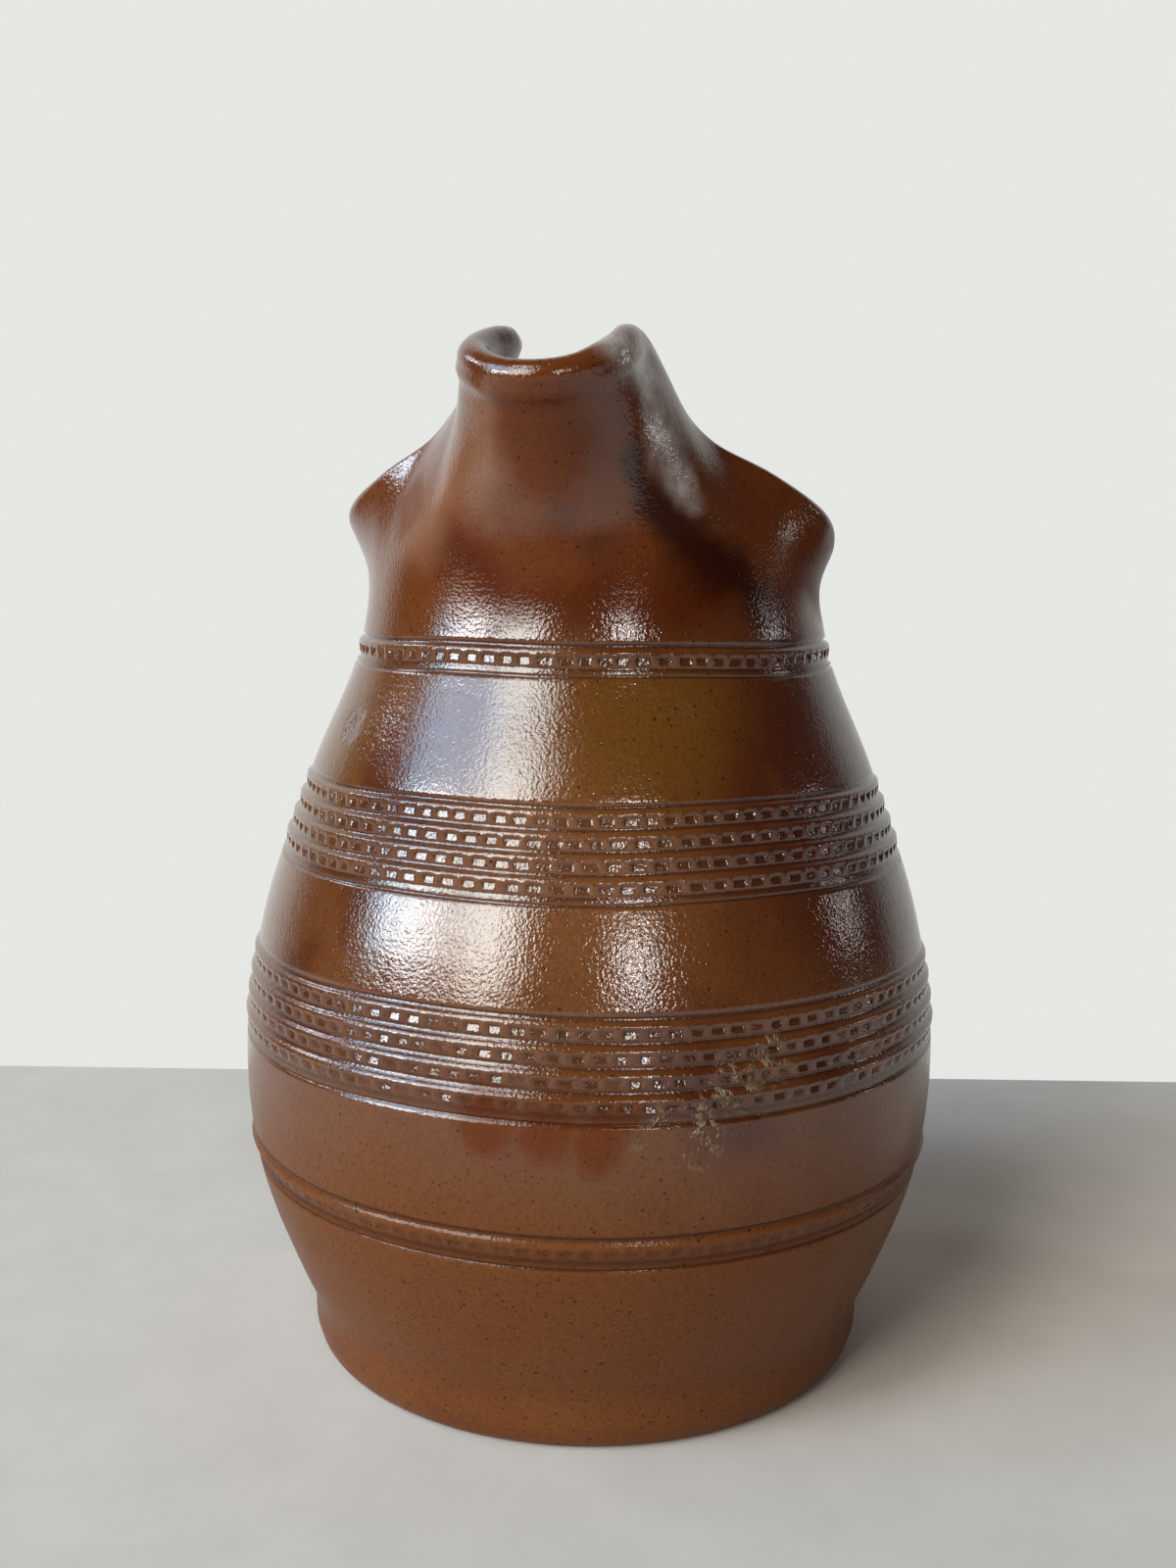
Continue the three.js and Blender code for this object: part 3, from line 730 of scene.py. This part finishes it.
class Nodes:
    """Short ways to add and link shader nodes."""

    def __init__(self, tree):
        self.tree = tree
        tree.nodes.clear()

    def add(self, kind, **settings):
        node = self.tree.nodes.new(kind)
        for key, value in settings.items():
            setattr(node, key, value)
        return node

    def link(self, source, target):
        self.tree.links.new(source, target)

    def feed(self, socket, value):
        """Link a socket, or set it where the value is a number or a colour."""
        if isinstance(value, tuple):
            socket.default_value = (*value, 1.0)
        elif isinstance(value, (int, float)):
            socket.default_value = value
        else:
            self.link(value, socket)

    def math(self, operation, first, second, clamp=False):
        node = self.add("ShaderNodeMath", operation=operation, use_clamp=clamp)
        self.feed(node.inputs[0], first)
        self.feed(node.inputs[1], second)
        return node.outputs[0]

    def vector(self, operation, first, second):
        """A vector node whose second input is set to a constant."""
        node = self.add("ShaderNodeVectorMath", operation=operation)
        self.link(first, node.inputs[0])
        node.inputs[1].default_value = second
        return node

    def noise(self, where, scale, detail, roughness):
        node = self.add("ShaderNodeTexNoise")
        node.inputs["Scale"].default_value = scale
        node.inputs["Detail"].default_value = detail
        node.inputs["Roughness"].default_value = roughness
        self.link(where, node.inputs["Vector"])
        return node.outputs["Fac"]

    def ramp(self, value, low, high, to_low=0.0, to_high=1.0):
        node = self.add("ShaderNodeMapRange", interpolation_type="SMOOTHSTEP")
        for name, number in (("From Min", low), ("From Max", high), ("To Min", to_low), ("To Max", to_high)):
            node.inputs[name].default_value = number
        self.link(value, node.inputs["Value"])
        return node.outputs["Result"]

    def over(self, place, low, high, to_low=0.0, to_high=1.0):
        """A ramp along one axis of the pot, between two places in millimetres."""
        return self.ramp(place, low * MM, high * MM, to_low, to_high)

    def near(self, where, place, reach, soft):
        """1 round a place on the pot, given in millimetres, and 0 beyond its reach."""
        apart = self.vector("DISTANCE", where, [c * MM for c in place])
        return self.over(apart.outputs["Value"], reach, reach - soft)

    def along(self, where, start, end, reach, soft):
        """1 along a line between two places on the pot, in millimetres, and 0 beyond its reach."""
        start = Vector(start) * MM
        run = Vector(end) * MM - start
        away = self.vector("SUBTRACT", where, start).outputs[0]
        ahead = self.vector("DOT_PRODUCT", away, run / run.length_squared).outputs["Value"]
        closest = self.add("ShaderNodeVectorMath", operation="SCALE")
        closest.inputs[0].default_value = run
        self.link(self.math("ADD", ahead, 0.0, clamp=True), closest.inputs["Scale"])
        apart = self.add("ShaderNodeVectorMath", operation="DISTANCE")
        self.link(away, apart.inputs[0])
        self.link(closest.outputs[0], apart.inputs[1])
        return self.over(apart.outputs["Value"], reach, reach - soft)

    def join(self, masks):
        """One mask that holds wherever any of these does."""
        joined = masks[0]
        for mask in masks[1:]:
            joined = self.math("MAXIMUM", joined, mask)
        return joined

    def near_any(self, where, marks):
        return self.join([self.near(where, *mark) for mark in marks])

    def along_any(self, where, marks):
        return self.join([self.along(where, *mark) for mark in marks])

    def warped(self, where, scale, reach):
        """The same place, moved about by soft noise, so that patches get uneven edges."""
        noise = self.add("ShaderNodeTexNoise")
        noise.inputs["Scale"].default_value = scale
        noise.inputs["Detail"].default_value = WARP_DETAIL
        self.link(where, noise.inputs["Vector"])
        move = self.vector("MULTIPLY_ADD", noise.outputs["Color"], [2 * reach * MM] * 3)
        self.link(where, move.inputs[2])
        return self.vector("SUBTRACT", move.outputs[0], [reach * MM] * 3).outputs[0]

    def mix(self, share, first, second):
        node = self.add("ShaderNodeMix", data_type="RGBA")
        for socket, value in ((node.inputs[0], share), (node.inputs[6], first), (node.inputs[7], second)):
            self.feed(socket, value)
        return node.outputs[2]

    def tint(self, color, mask, share, other):
        """The colour, taken a share of the way towards another where the mask holds."""
        return self.mix(self.math("MULTIPLY", mask, share), color, other)

    def finish(self, kind, source):
        out = self.add(kind)
        self.link(source, out.inputs["Surface"])


def iron_specks(n, where):
    """Dots of several sizes, scattered over the glaze."""
    specks = []
    for scale, size, bare in SPECKS:
        cells = n.add("ShaderNodeTexVoronoi")
        cells.inputs["Scale"].default_value = scale
        n.link(where, cells.inputs["Vector"])
        chance = n.add("ShaderNodeSeparateColor")
        n.link(cells.outputs["Color"], chance.inputs[0])
        dot = n.ramp(cells.outputs["Distance"], size, size * SPECK_CORE)
        specks.append(n.math("MULTIPLY", dot, n.math("GREATER_THAN", chance.outputs[0], bare)))
    return n.math("MULTIPLY", n.join(specks), SHARES["speck"])


def glaze_material(name, tone, marked):
    """Brown salt glaze: mottled colour, iron specks, orange-peel gloss, drier towards the foot."""
    material = bpy.data.materials.new(name)
    material.use_nodes = True
    n = Nodes(material.node_tree)
    where = n.add("ShaderNodeTexCoord").outputs["Object"]
    loose = n.warped(where, *LOOSE_WARP)
    axes = n.add("ShaderNodeSeparateXYZ")
    n.link(loose, axes.inputs[0])
    height = axes.outputs["Z"]

    # Mottled colour
    patches = n.noise(where, *NOISES["patches"])
    clouds = n.noise(where, *NOISES["clouds"])
    color = n.mix(n.ramp(patches, *SHOWS["patches"]), GLAZE_RED, GLAZE_BROWN)
    ochre = n.ramp(n.noise(where, *NOISES["ochre"]), *SHOWS["ochre"])
    color = n.tint(color, ochre, SHARES["ochre"], GLAZE_OCHRE)
    if marked:
        # Redder on the right side, partly as painted shade
        color = n.tint(color, n.near(loose, *REDDER_SHADED_SIDE), SHARES["redder_shaded_side"], GLAZE_RED)
        color = n.tint(color, n.near(loose, *LIGHTER_FRONT), SHARES["lighter_front"], GLAZE_LIGHT)
        color = n.tint(color, n.near(loose, *OCHRE_FLASH), SHARES["ochre_flash"], GLAZE_OCHRE)
    color = n.tint(color, n.ramp(clouds, *SHOWS["clouds"]), SHARES["clouds"], GLAZE_TAN)
    color = n.mix(n.over(height, *RUST_RISE, 0.0, SHARES["rust"]), color, GLAZE_RUST)
    dry = n.over(height, *DRY_FALL)
    if marked:
        color = n.tint(color, n.along_any(loose, COLLAR_REDS), SHARES["collar_reds"], GLAZE_RED)
        wet = n.near_any(loose, WET_PATCHES)
        dry = n.math("MULTIPLY", dry, n.math("SUBTRACT", 1.0, wet))
        color = n.tint(color, wet, SHARES["wet"], GLAZE_RUST)
    color = n.tint(color, dry, SHARES["dry"], DRY_CLAY)

    # Pooled glaze, grain and specks
    pressed = n.add("ShaderNodeAttribute", attribute_name="pressed").outputs["Fac"]
    color = n.tint(color, pressed, SHARES["pressed"], GLAZE_POOL)
    grain = n.ramp(n.noise(where, *NOISES["grain"]), *SHOWS["grain"], 0.0, SHARES["grain"])
    color = n.mix(grain, color, GLAZE_POOL)
    speck = iron_specks(n, where)
    color = n.mix(speck, color, SPECK)
    color = n.mix(tone, color, GLAZE_RED)

    # Fine relief, and the marks on the body, among them a painted reflection and a painted sheen beside the
    # spout
    relief = n.noise(where, *NOISES["fine"])
    stretched = n.vector("MULTIPLY", where, LINE_STRETCH).outputs[0]
    layers = {
        "peel": n.noise(where, *NOISES["peel"]),
        "swell": n.noise(where, *NOISES["swell"]),
        "lines": n.noise(stretched, *NOISES["lines"]),
        "speck": speck,
    }
    if marked:
        grit = n.ramp(n.noise(loose, *NOISES["grit"]), *SHOWS["grit"])
        ash = n.math("MULTIPLY", n.near_any(loose, ASH_SCARS), grit)
        color = n.tint(color, ash, SHARES["ash"], ASH_SCAR)
        color = n.tint(color, n.near_any(loose, BLOTCHES), SHARES["blotch"], GLAZE_POOL)
        # Painted reflection down the right of the spout, broken up by noise
        broken_reflection = n.ramp(n.noise(where, *NOISES["reflection_breakup"]), *SHOWS["reflection_breakup"], *REFLECTION_BREAKUP_RANGE)
        color = n.mix(n.math("MULTIPLY", n.along_any(loose, PAINTED_SPOUT_REFLECTION), broken_reflection), color, REFLECTION_GREY)
        # Painted sheen down the left of the spout
        color = n.tint(color, n.along_any(loose, PAINTED_LEFT_SHEEN), SHARES["painted_sheen"], SHEEN_TAN)
        color = n.tint(color, n.along_any(loose, DARK_STREAKS), SHARES["run"], GLAZE_DARK)
        pock = n.near(n.warped(where, *POCK_WARP), *POCK)
        dents = n.math("MULTIPLY", pock, n.ramp(n.noise(where, *NOISES["dents"]), *SHOWS["dents"]))
        color = n.tint(color, dents, SHARES["dents"], GLAZE_POOL)
        layers.update(ash=ash, dents=dents)
        dry = n.math("MAXIMUM", dry, ash)
    for layer, mask in layers.items():
        relief = n.math("ADD", relief, n.math("MULTIPLY", mask, RELIEF[layer]))

    # Gloss, with duller zones
    rough = n.ramp(clouds, *SHOWS["rough"], *ROUGH_RANGE)
    rough = n.math("ADD", rough, n.math("MULTIPLY", dry, DRY_ROUGHNESS))
    rising = n.over(height, *DULL_RISE, 0.0, DULLING["collar"])
    dull = n.math("MULTIPLY", rising, n.over(height, *DULL_FALL))
    dull = n.math("MULTIPLY", dull, n.over(axes.outputs["X"], *DULL_LEFT))
    dull = n.math("MAXIMUM", dull, n.math("MULTIPLY", dry, DULLING["dry"]))
    if marked:
        dull = n.math("MAXIMUM", dull, n.math("MULTIPLY", wet, DULLING["wet"]))
        marks = n.near_any(loose, DULL_MARKS)
        dull = n.math("MAXIMUM", dull, n.math("MULTIPLY", marks, DULLING["marks"]))
    bump = n.add("ShaderNodeBump")
    bump.inputs["Strength"].default_value = 1.0
    bump.inputs["Distance"].default_value = BUMP_DISTANCE
    n.link(relief, bump.inputs["Height"])

    surface = n.add("ShaderNodeBsdfPrincipled")
    surface.inputs["IOR"].default_value = GLAZE_IOR
    surface.inputs["Specular IOR Level"].default_value = BASE_SPECULAR
    surface.inputs["Coat Roughness"].default_value = COAT_ROUGHNESS
    surface.inputs["Coat IOR"].default_value = GLAZE_IOR
    n.link(n.math("SUBTRACT", 1.0, dull), surface.inputs["Coat Weight"])
    n.link(bump.outputs["Normal"], surface.inputs["Coat Normal"])
    n.link(color, surface.inputs["Base Color"])
    n.link(rough, surface.inputs["Roughness"])
    n.link(bump.outputs["Normal"], surface.inputs["Normal"])
    n.finish("ShaderNodeOutputMaterial", surface.outputs[0])
    return material


def camera_axes(vector):
    """A vector from the camera's own axes, where the pot is turned, into the frame's axes."""
    return Matrix.Rotation(math.radians(JUG_TURN), 3, "Z") @ Vector(vector)


def add_camera():
    pitch, yaw, roll = (math.radians(angle) for angle in (CAMERA_PITCH, CAMERA_YAW, CAMERA_ROLL))
    ahead = Vector((math.sin(yaw) * math.cos(pitch), math.cos(yaw) * math.cos(pitch), -math.sin(pitch)))
    right = Vector((math.cos(yaw), -math.sin(yaw), 0))
    up = right.cross(ahead)
    rolled_right = math.cos(roll) * right + math.sin(roll) * up
    rolled_up = -math.sin(roll) * right + math.cos(roll) * up
    columns = [camera_axes(axis) for axis in (rolled_right, rolled_up, -ahead)]
    data = bpy.data.cameras.new("camera")
    data.sensor_width = SENSOR
    data.lens = FOCAL_PIXELS * SENSOR / FRAME_TALL
    data.clip_start = CLIP_START
    camera = bpy.data.objects.new("camera", data)
    place = camera_axes((0, -CAMERA_DISTANCE * MM, CAMERA_HEIGHT * MM))
    camera.matrix_world = Matrix.Translation(place) @ Matrix(columns).transposed().to_4x4()
    bpy.context.scene.collection.objects.link(camera)
    bpy.context.scene.camera = camera


def add_panel(name, bearing, rise, wide, tall, radiance, color):
    """A soft window: a lit rectangle that faces the pot, given by its angles as seen from there."""
    data = bpy.data.lights.new(name, "AREA")
    data.shape = "RECTANGLE"
    data.size = 2 * PANEL_DISTANCE * math.tan(math.radians(wide / 2))
    data.size_y = 2 * PANEL_DISTANCE * math.tan(math.radians(tall / 2))
    data.energy = math.pi * data.size * data.size_y * radiance
    data.color = color
    lamp = bpy.data.objects.new(name, data)
    a, e = math.radians(bearing), math.radians(rise)
    away = camera_axes((math.sin(a) * math.cos(e), -math.cos(a) * math.cos(e), math.sin(e)))
    lamp.location = Vector((0, 0, PANEL_AIM * MM)) + away * PANEL_DISTANCE
    lamp.rotation_euler = away.to_track_quat("Z", "Y").to_euler()
    bpy.context.scene.collection.objects.link(lamp)


def add_table():
    """The plain pale floor, with a faint mottle and no sheen."""
    side, back = TABLE_SIDE * MM, TABLE_BACK * MM
    corners = [(-side, -side, 0), (side, -side, 0), (side, back, 0), (-side, back, 0)]
    mesh = bpy.data.meshes.new("table")
    mesh.from_pydata([camera_axes(corner) for corner in corners], [], [(0, 1, 2, 3)])
    material = bpy.data.materials.new("pale_table")
    material.use_nodes = True
    n = Nodes(material.node_tree)
    where = n.add("ShaderNodeTexCoord").outputs["Object"]
    mottle = n.ramp(n.noise(where, *NOISES["mottle"]), *SHOWS["mottle"])
    surface = n.add("ShaderNodeBsdfPrincipled")
    surface.inputs["Roughness"].default_value = TABLE_ROUGHNESS
    surface.inputs["Specular IOR Level"].default_value = 0.0
    darker = tuple(TABLE_MOTTLE * c for c in TABLE_COLOR)
    n.link(n.mix(mottle, darker, TABLE_COLOR), surface.inputs["Base Color"])
    n.finish("ShaderNodeOutputMaterial", surface.outputs[0])
    mesh.materials.append(material)
    table = bpy.data.objects.new("table", mesh)
    bpy.context.scene.collection.objects.link(table)


def add_room():
    """Pale wall behind the pot and a dim room before it. The camera sees the wall all round."""
    world = bpy.data.worlds.new("room")
    bpy.context.scene.world = world
    world.use_nodes = True
    n = Nodes(world.node_tree)
    where = n.add("ShaderNodeTexCoord").outputs["Generated"]
    facing = n.vector("DOT_PRODUCT", where, camera_axes((0, 1, 0))).outputs["Value"]
    sideways = n.vector("DOT_PRODUCT", where, camera_axes((1, 0, 0))).outputs["Value"]
    dimming = n.ramp(sideways, *WALL_SIDES, *WALL_DIMMING)
    color = n.mix(n.math("MULTIPLY", n.ramp(facing, *WALL_BEHIND), dimming), ROOM_COLOR, WALL_COLOR)
    seen = n.add("ShaderNodeLightPath").outputs["Is Camera Ray"]
    light = n.add("ShaderNodeBackground")
    n.link(n.mix(seen, color, WALL_COLOR), light.inputs["Color"])
    n.finish("ShaderNodeOutputWorld", light.outputs[0])


add_camera()
add_room()
add_table()
for panel, values in PANELS.items():
    add_panel(panel, *values)

body_glaze = glaze_material("body_glaze", 0.0, True)
handle_glaze = glaze_material("handle_glaze", HANDLE_TONE, False)
luting_glaze = glaze_material("luting_glaze", LUTING_TONE, False)

make_piece("glazed_body", body_rings(), body_glaze, "thrown_body")
strap_line = StrapLine()
roots = {
    "upper_luting": lambda distance: distance,
    "lower_luting": lambda distance: strap_line.length - distance,
}
make_piece("glazed_strap", strap_rings(strap_line), handle_glaze, "strap_handle")
for seed, (node, from_root) in enumerate(roots.items()):
    coil = luting_rings(strap_line, from_root, seed)
    make_piece("glazed_" + node, coil, luting_glaze, node)

bpy.context.scene.view_settings.view_transform = "Standard"
